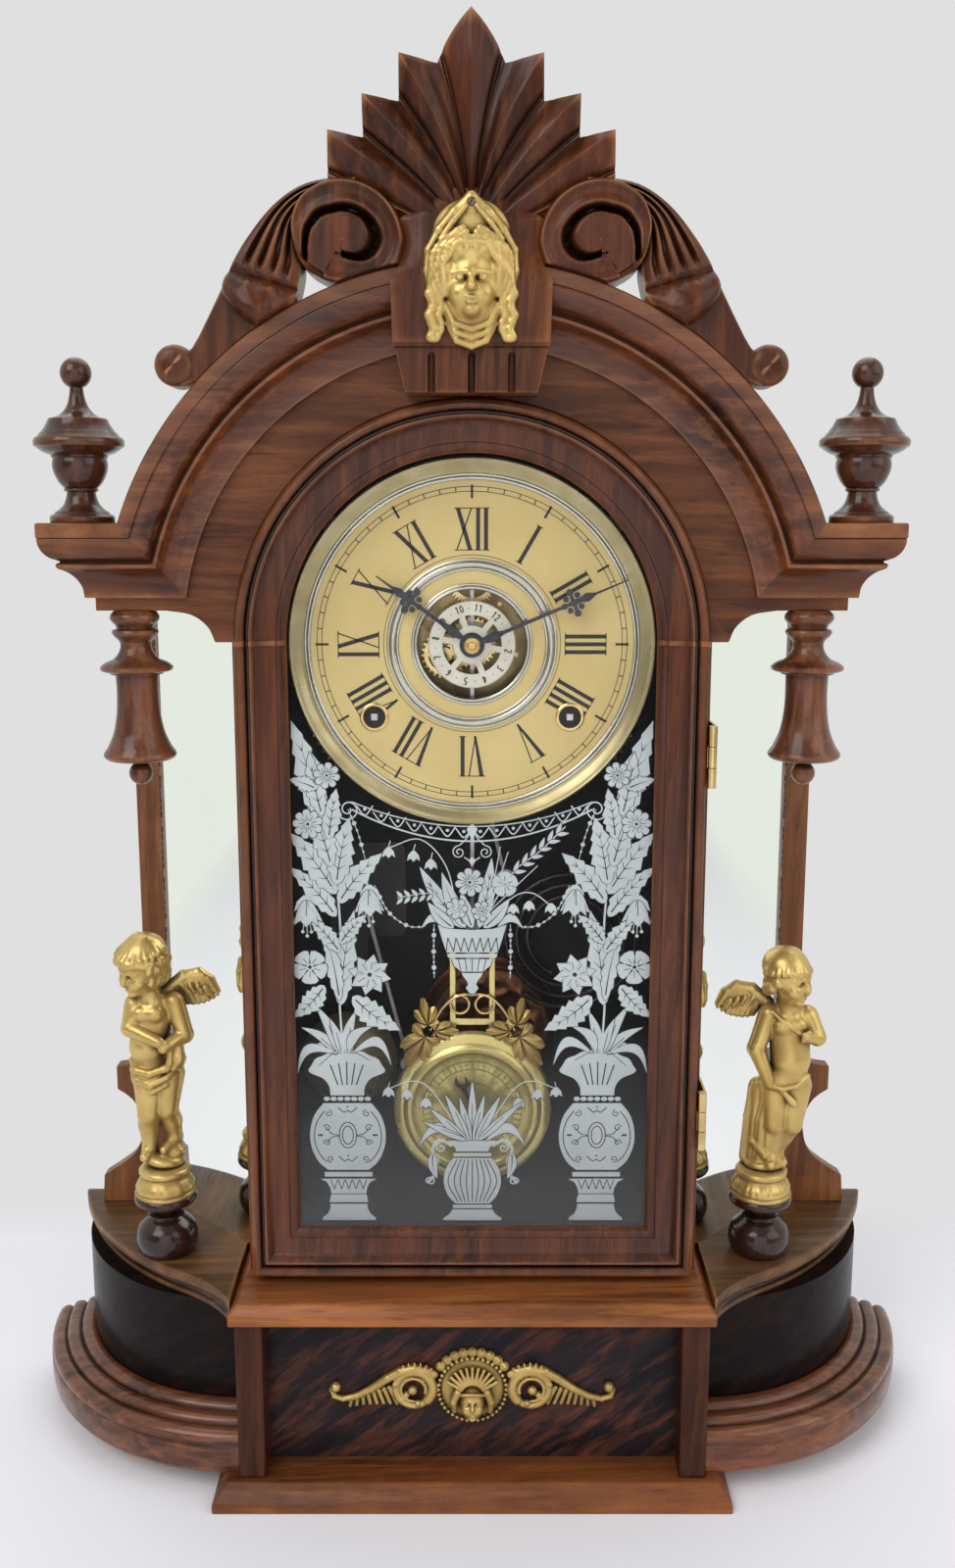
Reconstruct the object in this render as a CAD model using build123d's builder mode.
from build123d import *
import math
import os

# A carved walnut mantel clock with mirrored niches, an arched glazed door, a pendulum,
# a strike on a coil gong and an alarm. X is right, Y is back, Z is up, in millimetres.
# The origin is on the floor, under the middle of the base plinth.

os.makedirs("parts", exist_ok=True)

# Base block
BASE_DEPTH = 122.0
PLINTH_REACH = 11.0
PLINTH_H = 11.5
PLINTH_EDGE = 4.0
PLINTH_BEVEL = 38.0
BLOCK_HALF = 103.5
PILASTER_W = 12.0
PILASTER_FRONT = -52.5
PANEL_FRONT = -37.0
PANEL_T = 8.0
PANEL_TOP = 86.5
LEDGE_REACH = 2.3
LEDGE_FRONT = -56.0
LEDGE_T = 9.0
LEDGE_EDGE = 4.5
LEDGE_BEVEL = 40.0
BOARD_T = 9.0
BASE_BACK_T = 6.0

# Round wings of the base
WING_SET = 1.5
WING_Y = 58.0
WING_WALL_T = 9.0
WING_MOULD_R = 108.0
WING_MOULD_W = 21.6
WING_MOULD_H = 21.5
WING_TOP_T = 12.0
WING_OVERHANG = 4.3
WING_START_Y = -49.0
WING_START_ANGLE = 60.0
BEND_REACH = 24.2
BEND_Y = -25.5
WING_COVE = 3.0
GLUE_GAP = 0.1

# Upper case
CASE_INNER = 90.0
CASE_WALL = 10.5
CASE_FRONT = -22.0
BACK_FRONT = 44.0
BACK_T = 8.0
BACK_OVERHANG = 4.3
FOOT_REACH = 25.0
ARCH_Z = 380.0
FACE_T = 8.0
ARCH_BORDER = 50.3
EAR_REACH = 6.3
EAR_RISE = 13.0
EAR_COVE = 18.0
EAR_LAND = 8.0
CANOPY_T = 12.0
CORNICE_RISE = 48.6
MOULD_W = 30.2
MOULD_P = 18.0

# Door
DOOR_HALF = 97.5
DOOR_BOTTOM = 99.4
DOOR_FRONT = -38.0
DOOR_GAP = 0.3
DOOR_RADIAL_GAP = 0.6
STILE_W = 21.0
BEAD_W = 4.6
GROOVE_W = 1.4
COVE_W = 4.2
BAND_W = 6.4
RABBET_LIP = 2.2
GLASS_T = 2.0
GLASS_BACK = -28.0
GLASS_GAP = 0.2
HINGE_X = 99.6
HINGE_Y = -36.5
HINGE_R = 1.9
HINGE_PIN_R = 0.9
HINGE_LEN = 26.0
HINGE_Z = (160.0, 320.0)
HINGE_LEAF_T = 0.9
HINGE_LEAF_DEPTH = 12.0
FIT = 0.05
END_PLAY = 0.3

# Turned work
FINIAL_OUT = 2.8
FINIAL_Y = -33.0
PENDANT_IN = 14.7
PENDANT_SEAT = 14.4
PENDANT_Y = -25.0
SOCLE_AT = ((-142.0, -3.0), (133.0, -4.0))
SOCLE_R = 14.0
SOCLE_H = 28.5

# Crest
CREST_FRONT = -50.0
CREST_BACK = -30.0
CREST_RISE = 87.6
VOLUTE_X = 49.3
VOLUTE_RISE = 5.9
VOLUTE_R = 23.5
CURL_X = 116.8
CURL_R = 8.0
KEYSTONE_DROP = 9.4
KEYSTONE_FOOT = 16.6
KEYSTONE_GAP = 0.2
KEYSTONE_FRONT = -52.0
KEYSTONE_HALF = (31.0, 29.5, 25.7)
MASK_DROP = 4.4

# Mirrors and ornaments
MIRROR_T = 3.0
MIRROR_BACKING_T = 4.0
MIRROR_MARGIN = 6.7
MIRROR_GAP = 0.7
MOUNT_Z = 48.0
MOUNT_HALF = 64.0

# Dial and hands
DIAL_Z = 378.0
DIAL_Y = -16.0
PAN_R = 77.7
PAN_T = 0.8
PAN_OPENING = 23.3
PAN_RIM = 4.0
PAPER_R = 68.8
PAPER_T = 0.3
RING_T = 0.6
RING_OUT = 36.2
RING_IN = 31.0
CENTRE_RING_OUT = 25.5
WIND_X = 41.7
WIND_DROP = 31.0
GROMMET_R = 6.2
GROMMET_HOLE = 4.6
ALARM_DISC_R = 18.4
MINUTE_LEN = 70.4
HOUR_LEN = 49.4
MINUTE_ANGLE = 67.2
HOUR_ANGLE = 305.7
HAND_T = 0.6

# Movement
PLATE_FRONT = 1.0
PLATE_T = 1.6
PLATE_GAP = 24.4
PLATE_HALF = 54.0
PLATE_RISE = 55.0
PLATE_DROP = 73.0
PILLAR_R = 3.0
PILLAR_LOW_X = 24.0
PIVOT_R = 1.0
WHEEL_T = 1.2
MAIN_TEETH = 48
MAIN_MODULE = 1.25
SECOND_TEETH = 36
SECOND_MODULE = 0.95
CENTRE_TEETH = 60
CENTRE_MODULE = 0.6
THIRD_TEETH = 48
THIRD_MODULE = 0.6
LEAVES = 6
ESCAPE_TEETH = 45
ESCAPE_R = 11.5
ESCAPE_Z = 405.0
MOTION_LEAVES = 8
MINUTE_TEETH = 24
HOUR_TEETH = 32
MOTION_REACH = 13.0
CENTRE_R = 1.5
PIPE_R = 2.6
SPRING_R = 14.0
SPRING_TURNS = 4
SPRING_STEP = 2.4
SPRING_STRIP = 1.0
SPRING_W = 12.0

# Pendulum and escapement
SUSPENSION_Z = 424.4
PENDULUM_Y = -9.0
ROD_W = 1.6
EYE_R = 7.2
BOB_Z = 168.0
BOB_R = 36.0
BOB_T = 7.0
VERGE_Z = 420.0
PALLET_GAP = 1.5
CRUTCH_Z = 392.0

# Gong and alarm
GONG_X = 45.0
GONG_Z = 235.0
GONG_Y = 32.0
GONG_R = 34.0
GONG_WIRE = 2.6
GONG_STEP = 5.2
GONG_HALF_TURNS = 6
GONG_BASE = (8.0, 190.0)
GONG_BASE_R = 33.0
GONG_BASE_T = 5.0
BELL = (-59.5, 174.0)
BELL_R = 23.0
BELL_DEPTH = 15.0
BELL_T = 1.4
ALARM_STUD = (-50.0, 250.0)
HAMMER_Z = 330.0

# Places that follow from the sizes above
PLINTH_HALF = BLOCK_HALF + PLINTH_REACH
LEDGE_HALF = BLOCK_HALF + LEDGE_REACH
WING_X = BLOCK_HALF + WING_SET
WING_R = WING_MOULD_R - WING_MOULD_W
WING_BEND = (LEDGE_HALF + BEND_REACH, BEND_Y)
LEDGE_TOP = PANEL_TOP + LEDGE_T
WING_TOP_LOW = LEDGE_TOP - WING_TOP_T
CASE_OUT = CASE_INNER + CASE_WALL
FACE_FRONT = CASE_FRONT - FACE_T
PLATE_BACK = PLATE_FRONT + PLATE_T + PLATE_GAP
BASE_FRONT = -BASE_DEPTH / 2
OPENING_R = DOOR_HALF + DOOR_RADIAL_GAP
ARCH_R = OPENING_R + ARCH_BORDER
CROWN_Z = ARCH_Z + ARCH_R
EAR_HALF = ARCH_R + EAR_REACH
EAR_BOTTOM = ARCH_Z + EAR_RISE
CORNICE_TOP = ARCH_Z + CORNICE_RISE
BACK_HALF = EAR_HALF + BACK_OVERHANG
BACK_TOP = EAR_BOTTOM + CANOPY_T
FOOT_HALF = BACK_HALF + FOOT_REACH
FINIAL_X = EAR_HALF + FINIAL_OUT
PENDANT_X = EAR_HALF - PENDANT_IN
EAR_FLAT = PENDANT_X - PENDANT_SEAT
CREST_TIP = CROWN_Z + CREST_RISE
VOLUTE = (VOLUTE_X, CROWN_Z + VOLUTE_RISE)
KEYSTONE_TOP = CROWN_Z - KEYSTONE_DROP
KEYSTONE_LOW = ARCH_Z + OPENING_R + KEYSTONE_GAP
KEYSTONE_STEP = KEYSTONE_LOW + KEYSTONE_FOOT
MASK_Z = CROWN_Z - MASK_DROP
MIRROR_OUT = EAR_HALF - MIRROR_MARGIN
MIRROR_IN = CASE_OUT + MIRROR_GAP
PLATE_TOP = DIAL_Z + PLATE_RISE
PLATE_LOW = DIAL_Z - PLATE_DROP
PILLARS = ((PLATE_HALF - 8, PLATE_TOP - 6), (PILLAR_LOW_X, PLATE_LOW + 7))


def keep(piece, node):
    """Name a finished sub-part and write it."""
    piece.part.label = node
    export_step(piece.part, f"parts/{node}.step")


def facing(y):
    """The upright plane at depth y that faces the viewer; it extrudes towards the viewer."""
    return Plane.XZ.offset(-y)


def turned(x, y, z=0.0):
    """The plane of a turned profile: local x is the radius and local y the height."""
    return Plane(origin=(x, y, z), x_dir=(1, 0, 0), z_dir=(0, -1, 0))


def spin(x, y):
    """The upright axis of a turned piece."""
    return Axis((x, y, 0), (0, 0, 1))


def reach(start, end):
    """Distance between two places in the front view."""
    return math.hypot(end[0] - start[0], end[1] - start[1])


def heading(start, end):
    """Angle in degrees of the line from start to end in the front view."""
    return math.degrees(math.atan2(end[1] - start[1], end[0] - start[0]))


def between(first, second, from_first, from_second, side):
    """The place at given distances from two others, on the left (1) or right (-1) of their line."""
    span = reach(first, second)
    along = (from_first**2 - from_second**2 + span**2) / (2 * span)
    off = side * math.sqrt(from_first**2 - along**2)
    ux, uy = (second[0] - first[0]) / span, (second[1] - first[1]) / span
    return (first[0] + along * ux - off * uy, first[1] + along * uy + off * ux)


# Base plinth: a board with an upright edge and a bevel on its front and ends
with BuildPart() as base_plinth:
    with BuildSketch():
        Rectangle(2 * PLINTH_HALF, BASE_DEPTH)
    extrude(amount=PLINTH_EDGE)
    with BuildSketch(Plane.XY.offset(PLINTH_EDGE)):
        with Locations((0, BASE_FRONT)):
            Rectangle(2 * PLINTH_HALF, 2 * BASE_DEPTH, align=(Align.CENTER, Align.MIN))
    extrude(amount=PLINTH_H - PLINTH_EDGE, taper=PLINTH_BEVEL)
    split(bisect_by=facing(-BASE_FRONT), keep=Keep.TOP)
keep(base_plinth, "base_plinth")

# Base carcass: the two sides and the wide back that also closes the wings
with BuildPart() as base_carcass:
    with BuildSketch(Plane.XY.offset(PLINTH_H)):
        with Locations((0, WING_Y)):
            Rectangle(2 * (WING_X + WING_R - 0.5), BASE_BACK_T, align=(Align.CENTER, Align.MAX))
        for side in (-1, 1):
            with Locations((side * (BLOCK_HALF - BOARD_T / 2), WING_Y)):
                Rectangle(BOARD_T, WING_Y - PANEL_FRONT - PANEL_T, align=(Align.CENTER, Align.MAX))
    extrude(amount=WING_TOP_LOW - PLINTH_H)
    with BuildSketch(Plane.XY.offset(WING_TOP_LOW)):
        with Locations((0, WING_Y)):
            Rectangle(2 * BLOCK_HALF, BASE_BACK_T, align=(Align.CENTER, Align.MAX))
        for side in (-1, 1):
            with Locations((side * (BLOCK_HALF - BOARD_T / 2), WING_Y)):
                Rectangle(BOARD_T, WING_Y - PANEL_FRONT - PANEL_T, align=(Align.CENTER, Align.MAX))
    extrude(amount=PANEL_TOP - WING_TOP_LOW)
keep(base_carcass, "base_carcass")

with BuildPart() as base_panel:
    with BuildSketch(facing(PANEL_FRONT + PANEL_T)):
        with Locations((0, PLINTH_H)):
            Rectangle(2 * (BLOCK_HALF - PILASTER_W), PANEL_TOP - PLINTH_H, align=(Align.CENTER, Align.MIN))
    extrude(amount=PANEL_T)
keep(base_panel, "base_panel")

with BuildPart() as base_pilasters:
    with BuildSketch(Plane.XY.offset(PLINTH_H)):
        for side in (-1, 1):
            with Locations((side * (BLOCK_HALF - PILASTER_W / 2), PILASTER_FRONT)):
                Rectangle(PILASTER_W, PANEL_FRONT + PANEL_T - PILASTER_FRONT, align=(Align.CENTER, Align.MIN))
    extrude(amount=PANEL_TOP - PLINTH_H)
    chamfer(base_pilasters.edges().filter_by(Axis.Z).group_by(Axis.Y)[0], length=0.8)
keep(base_pilasters, "base_pilasters")

with BuildPart() as base_ledge:
    with BuildSketch(Plane.XY.offset(PANEL_TOP)):
        with Locations((0, LEDGE_FRONT)):
            Rectangle(2 * LEDGE_HALF, WING_Y - LEDGE_FRONT, align=(Align.CENTER, Align.MIN))
    extrude(amount=LEDGE_EDGE)
    with BuildSketch(Plane.XY.offset(PANEL_TOP + LEDGE_EDGE)):
        with Locations((0, LEDGE_FRONT)):
            Rectangle(2 * LEDGE_HALF, 2 * BASE_DEPTH, align=(Align.CENTER, Align.MIN))
    extrude(amount=LEDGE_T - LEDGE_EDGE, taper=LEDGE_BEVEL)
    split(bisect_by=facing(WING_Y), keep=Keep.TOP)
keep(base_ledge, "base_ledge")

# Wing mouldings: three reeds round each wing, from the block to the back
MOULD_LOW = PLINTH_H
MOULD_HIGH = PLINTH_H + WING_MOULD_H
REED = (WING_MOULD_R - WING_R) / 3
with BuildPart() as wing_mouldings:
    with BuildSketch(turned(WING_X, WING_Y)):
        with BuildLine():
            wall = WING_R + GLUE_GAP
            Polyline((wall, MOULD_HIGH + 3), (wall, MOULD_LOW), (WING_MOULD_R, MOULD_LOW))
            Line((WING_MOULD_R, MOULD_LOW), (WING_MOULD_R, MOULD_HIGH - 4))
            RadiusArc((WING_MOULD_R, MOULD_HIGH - 4), (WING_MOULD_R - REED, MOULD_HIGH - 1.4), -REED / 1.6)
            second_reed = (WING_MOULD_R - REED, MOULD_HIGH - 1.4)
            RadiusArc(second_reed, (WING_MOULD_R - 2 * REED, MOULD_HIGH), -REED / 1.5)
            RadiusArc((WING_MOULD_R - 2 * REED, MOULD_HIGH), (WING_R + GLUE_GAP, MOULD_HIGH + 3), -REED / 1.5)
        make_face()
    revolve(axis=spin(WING_X, WING_Y), revolution_arc=-95)
    split(bisect_by=facing(WING_Y), keep=Keep.TOP)
    split(bisect_by=Plane.YZ.offset(BLOCK_HALF), keep=Keep.TOP)
    mirror(about=Plane.YZ)
keep(wing_mouldings, "wing_mouldings")

with BuildPart() as wing_drums:
    with BuildSketch(Plane.XY.offset(PLINTH_H)):
        with Locations((WING_X, WING_Y)):
            Circle(WING_R)
            Circle(WING_R - WING_WALL_T, mode=Mode.SUBTRACT)
    extrude(amount=WING_TOP_LOW - PLINTH_H)
    split(bisect_by=facing(WING_Y - BASE_BACK_T), keep=Keep.TOP)
    split(bisect_by=Plane.YZ.offset(BLOCK_HALF), keep=Keep.TOP)
    mirror(about=Plane.YZ)
keep(wing_drums, "wing_drums")


def wing_outline(inset):
    """Plan of the right wing top: an ogee edge from the block round to the back."""
    start = (LEDGE_HALF + GLUE_GAP, WING_START_Y + inset)
    bend = (WING_BEND[0] - inset / 2, WING_BEND[1] + inset)
    end = (WING_X + WING_R + WING_OVERHANG - inset, WING_Y)
    lean = math.radians(WING_START_ANGLE)
    with BuildLine() as edge:
        TangentArc(start, bend, tangent=(math.cos(lean), math.sin(lean)))
        TangentArc(bend, end, tangent=edge.line % 1)
        Polyline(end, (start[0], WING_Y), start)
    return edge


# Wing tops: a shaped board with a cove and a bead under its crown edge
WING_LAYERS = ((0.0, 0.0, 0.5), (WING_COVE, 0.5, 0.8), (WING_COVE / 2, 0.8, 1.0))
with BuildPart() as wing_tops:
    for inset, upper, lower in WING_LAYERS:
        with BuildSketch(Plane.XY.offset(LEDGE_TOP - lower * WING_TOP_T)):
            outline = wing_outline(inset)
            make_face(outline.edges())
        extrude(amount=(lower - upper) * WING_TOP_T)
    mirror(about=Plane.YZ)
keep(wing_tops, "wing_tops")

# Upper case: two sides and a bent roof between the face board and the backboard
with BuildPart() as case_sides:
    with BuildSketch(Plane.XY.offset(LEDGE_TOP)):
        for side in (-1, 1):
            with Locations((side * (CASE_INNER + CASE_WALL / 2), CASE_FRONT)):
                Rectangle(CASE_WALL, BACK_FRONT - CASE_FRONT, align=(Align.CENTER, Align.MIN))
    extrude(amount=ARCH_Z - LEDGE_TOP)
keep(case_sides, "case_sides")

with BuildPart() as case_roof:
    with BuildSketch(facing(BACK_FRONT)):
        with Locations((0, ARCH_Z)):
            Circle(CASE_OUT)
            Circle(CASE_INNER, mode=Mode.SUBTRACT)
            Rectangle(3 * CASE_OUT, CASE_OUT, align=(Align.CENTER, Align.MAX), mode=Mode.SUBTRACT)
    extrude(amount=BACK_FRONT - CASE_FRONT)
keep(case_roof, "case_roof")

# Backboard with scroll-cut feet and a round top behind the case roof
FOOT_STEP = 14.0
FOOT_WAIST = BACK_HALF + 3.8
FOOT_LUG = BACK_HALF + 15.5
BACK_LOW = LEDGE_TOP
with BuildPart() as backboard:
    with BuildSketch(facing(BACK_FRONT + BACK_T)):
        with BuildLine() as half:
            Polyline((0, BACK_LOW), (FOOT_HALF, BACK_LOW), (FOOT_HALF - 1, BACK_LOW + FOOT_STEP))
            ThreePointArc(
                (FOOT_HALF - 1, BACK_LOW + FOOT_STEP),
                (FOOT_HALF - 16, BACK_LOW + FOOT_STEP + 11),
                (FOOT_WAIST, BACK_LOW + FOOT_STEP + 25),
            )
            ThreePointArc(
                (FOOT_WAIST, BACK_LOW + FOOT_STEP + 25),
                (FOOT_WAIST + 3.5, BACK_LOW + FOOT_STEP + 38),
                (FOOT_LUG, BACK_LOW + FOOT_STEP + 45),
            )
            Polyline((FOOT_LUG, BACK_LOW + FOOT_STEP + 45), (FOOT_LUG, BACK_LOW + FOOT_STEP + 57))
            RadiusArc(
                (FOOT_LUG, BACK_LOW + FOOT_STEP + 57),
                (BACK_HALF, BACK_LOW + FOOT_STEP + 67),
                17,
            )
            Polyline(
                (BACK_HALF, BACK_LOW + FOOT_STEP + 67),
                (BACK_HALF, BACK_TOP),
                (0, BACK_TOP),
                (0, BACK_LOW),
            )
        make_face()
        mirror(about=Plane.YZ)
        with Locations((0, ARCH_Z)):
            Circle(CASE_OUT + 2)
    extrude(amount=BACK_T)
keep(backboard, "backboard")

# Face board: the arch and its two ears, with the arched opening that the door closes into
with BuildPart() as face_board:
    with BuildSketch(facing(CASE_FRONT)):
        with Locations((0, ARCH_Z)):
            Circle(ARCH_R)
        with Locations((0, EAR_BOTTOM)):
            Rectangle(2 * EAR_HALF, CORNICE_TOP - EAR_BOTTOM, align=(Align.CENTER, Align.MIN))
        with BuildLine():
            Polyline((-ARCH_R, EAR_BOTTOM), (-EAR_FLAT, EAR_BOTTOM))
            land = OPENING_R + EAR_LAND
            RadiusArc((-EAR_FLAT, EAR_BOTTOM), (-land, ARCH_Z), EAR_COVE)
            Polyline((-land, ARCH_Z), (land, ARCH_Z))
            RadiusArc((land, ARCH_Z), (EAR_FLAT, EAR_BOTTOM), EAR_COVE)
            Polyline((EAR_FLAT, EAR_BOTTOM), (ARCH_R + 9, EAR_BOTTOM), (ARCH_R + 9, 0))
            Polyline((ARCH_R + 9, 0), (-ARCH_R - 9, 0), (-ARCH_R - 9, EAR_BOTTOM), (-ARCH_R, EAR_BOTTOM))
        make_face(mode=Mode.SUBTRACT)
        with Locations((0, ARCH_Z)):
            Circle(OPENING_R, mode=Mode.SUBTRACT)
    extrude(amount=FACE_T)
keep(face_board, "face_board")


def moulding_profile(low, base):
    """Cove, fillet, ovolo and fillet, from the low edge outwards; base is the line it is glued to."""
    steps = ((0, 3.3), (12.1, 11.3), (15.3, 11.8), (23.9, MOULD_P))
    points = [(low + rise, base + out) for rise, out in steps]
    with BuildLine() as edge:
        Polyline((low + MOULD_W, base + MOULD_P), (low + MOULD_W, base), (low, base), points[0])
        RadiusArc(points[0], points[1], -11)
        Line(points[1], points[2])
        RadiusArc(points[2], points[3], 12)
        Line(points[3], (low + MOULD_W, base + MOULD_P))
    return edge


def on_arch(radius, height):
    """Half width of a circle about the arch's middle at a given height."""
    return math.sqrt(radius**2 - (height - ARCH_Z)**2)


MITRE_TOP = (on_arch(ARCH_R, CORNICE_TOP), CORNICE_TOP)
MITRE_LOW = (on_arch(ARCH_R - MOULD_W, CORNICE_TOP - MOULD_W), CORNICE_TOP - MOULD_W)
MITRE = math.atan2(MITRE_TOP[1] - MITRE_LOW[1], MITRE_TOP[0] - MITRE_LOW[0])
MITRE_RIGHT = Plane(
    origin=(MITRE_LOW[0], 0, MITRE_LOW[1]),
    x_dir=(0, 1, 0),
    z_dir=(-math.sin(MITRE), 0, math.cos(MITRE)),
)
MITRE_LEFT = Plane(
    origin=(-MITRE_LOW[0], 0, MITRE_LOW[1]),
    x_dir=(0, 1, 0),
    z_dir=(math.sin(MITRE), 0, math.cos(MITRE)),
)


def keystone_outline():
    """Front view of the keystone block: a tapered block with a step above its fluted foot."""
    top, step, low = KEYSTONE_HALF
    return [
        (-low, KEYSTONE_LOW),
        (low, KEYSTONE_LOW),
        (step, KEYSTONE_STEP),
        (top, KEYSTONE_TOP),
        (-top, KEYSTONE_TOP),
        (-step, KEYSTONE_STEP),
    ]


# Arch moulding: turned profile, mitred to the cornice ends and stopped against the keystone
with BuildPart() as arch_moulding:
    with BuildSketch(Plane(origin=(0, FACE_FRONT, ARCH_Z), x_dir=(1, 0, 0), z_dir=(0, 0, 1))):
        profile = moulding_profile(ARCH_R - MOULD_W, 0)
        make_face(profile.edges())
        mirror(about=Plane.XZ, mode=Mode.REPLACE)
    revolve(axis=Axis((0, FACE_FRONT, ARCH_Z), (0, -1, 0)), revolution_arc=180)
    split(bisect_by=MITRE_RIGHT, keep=Keep.TOP)
    split(bisect_by=MITRE_LEFT, keep=Keep.TOP)
    with BuildSketch(facing(FACE_FRONT)):
        Polygon(*keystone_outline(), align=None)
        with Locations((0, KEYSTONE_TOP)):
            Rectangle(2 * KEYSTONE_HALF[0], ARCH_R, align=(Align.CENTER, Align.MIN))
    extrude(amount=2 * MOULD_P, mode=Mode.SUBTRACT)
keep(arch_moulding, "arch_moulding")

# Cornice ends: the same profile along the ear's front, mitred round its outer corner to the back
with BuildPart() as cornices:
    with BuildLine() as run:
        Polyline((MITRE_LOW[0], FACE_FRONT, MITRE_LOW[1]), (EAR_HALF, FACE_FRONT, MITRE_LOW[1]),
                 (EAR_HALF, BACK_FRONT, MITRE_LOW[1]))
    mitre = (MITRE_LOW[0], FACE_FRONT, MITRE_LOW[1])
    with BuildSketch(Plane(origin=mitre, x_dir=(0, 0, 1), z_dir=(1, 0, 0))):
        profile = moulding_profile(0, 0)
        make_face(profile.edges())
    sweep(path=run.line, transition=Transition.RIGHT)
    split(bisect_by=MITRE_RIGHT, keep=Keep.BOTTOM)
    mirror(about=Plane.YZ)
keep(cornices, "cornices")

with BuildPart() as canopy_boards:
    with BuildSketch(Plane.XY.offset(EAR_BOTTOM)):
        for side in (-1, 1):
            with Locations((side * (CASE_OUT + EAR_HALF) / 2, CASE_FRONT)):
                Rectangle(EAR_HALF - CASE_OUT, BACK_FRONT - CASE_FRONT, align=(Align.CENTER, Align.MIN))
    extrude(amount=CANOPY_T)
keep(canopy_boards, "canopy_boards")


# Keystone block with three flutes in its foot
FLUTE_X = 15.5
with BuildPart() as keystone_block:
    with BuildSketch(facing(FACE_FRONT)):
        Polygon(*keystone_outline(), align=None)
    extrude(amount=FACE_FRONT - KEYSTONE_FRONT)
    with BuildSketch(facing(KEYSTONE_FRONT)):
        with Locations([(x, (KEYSTONE_STEP + KEYSTONE_LOW) / 2) for x in (-FLUTE_X, 0, FLUTE_X)]):
            SlotOverall(KEYSTONE_STEP - KEYSTONE_LOW - 3, 2.6, rotation=90)
    extrude(amount=-1.5, mode=Mode.SUBTRACT)
keep(keystone_block, "keystone_block")

# Crest fan: seven ridged lobes with stepped tips, rising from behind the mask
TIP_RISE = ((27.0, 71.9), (40.9, 57.5), (54.0, 45.1))
NOTCH_RISE = ((12.7, 69.6), (27.4, 56.5), (40.9, 44.0))
LOBE_TIPS = [(x, CROWN_Z + rise) for x, rise in TIP_RISE]
LOBE_NOTCHES = [(x, CROWN_Z + rise) for x, rise in NOTCH_RISE]
FAN_ROOT = (0.0, CROWN_Z + 4.6)
FAN_SEAT = VOLUTE_R + 0.4
RIDGE_RISE = 5.0
with BuildPart() as crest_fan:
    with BuildSketch(facing(CREST_BACK)):
        with BuildLine():
            Polyline((0, KEYSTONE_TOP), (24, KEYSTONE_TOP), (VOLUTE[0] - FAN_SEAT, VOLUTE[1]))
            ThreePointArc(
                (VOLUTE[0] - FAN_SEAT, VOLUTE[1]),
                (VOLUTE[0] - FAN_SEAT * math.sqrt(0.5), VOLUTE[1] + FAN_SEAT * math.sqrt(0.5)),
                (VOLUTE[0], VOLUTE[1] + FAN_SEAT),
            )
            seat = VOLUTE[1] + FAN_SEAT
            Polyline((VOLUTE[0], seat), (LOBE_TIPS[2][0] + 0.6, seat), LOBE_TIPS[2])
            for index in (2, 1):
                Polyline(LOBE_TIPS[index], LOBE_NOTCHES[index], LOBE_TIPS[index - 1])
            Line(LOBE_TIPS[0], LOBE_NOTCHES[0])
            RadiusArc(LOBE_NOTCHES[0], (0, CREST_TIP), -60)
            Line((0, CREST_TIP), (0, KEYSTONE_TOP))
        make_face()
        mirror(about=Plane.YZ)
    extrude(amount=CREST_BACK - CREST_FRONT)
    for side in (-1, 1):
        for tip in LOBE_TIPS:
            end = (side * tip[0], tip[1])
            lean = heading(FAN_ROOT, end)
            with BuildSketch(Plane(origin=(FAN_ROOT[0], CREST_FRONT, FAN_ROOT[1]),
                                   x_dir=(-math.sin(math.radians(lean)), 0, math.cos(math.radians(lean))),
                                   z_dir=(math.cos(math.radians(lean)), 0, math.sin(math.radians(lean))))):
                Polygon((-1.2, 0), (1.2, 0), (0, -0.2), align=None)
            with BuildSketch(Plane(origin=(end[0], CREST_FRONT, end[1]),
                                   x_dir=(-math.sin(math.radians(lean)), 0, math.cos(math.radians(lean))),
                                   z_dir=(math.cos(math.radians(lean)), 0, math.sin(math.radians(lean))))):
                Polygon((-5.5, 0), (5.5, 0), (0, -RIDGE_RISE), align=None)
            loft()
    with BuildSketch(Plane.XY.offset(FAN_ROOT[1])):
        with Locations((0, CREST_FRONT)):
            Polygon((-1.5, 0), (1.5, 0), (0, -0.2), align=None)
    with BuildSketch(Plane.XY.offset(LOBE_NOTCHES[0][1] + 4)):
        with Locations((0, CREST_FRONT)):
            Polygon((-10, 0), (10, 0), (0, -RIDGE_RISE), align=None)
    loft()
keep(crest_fan, "crest_fan")

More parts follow.
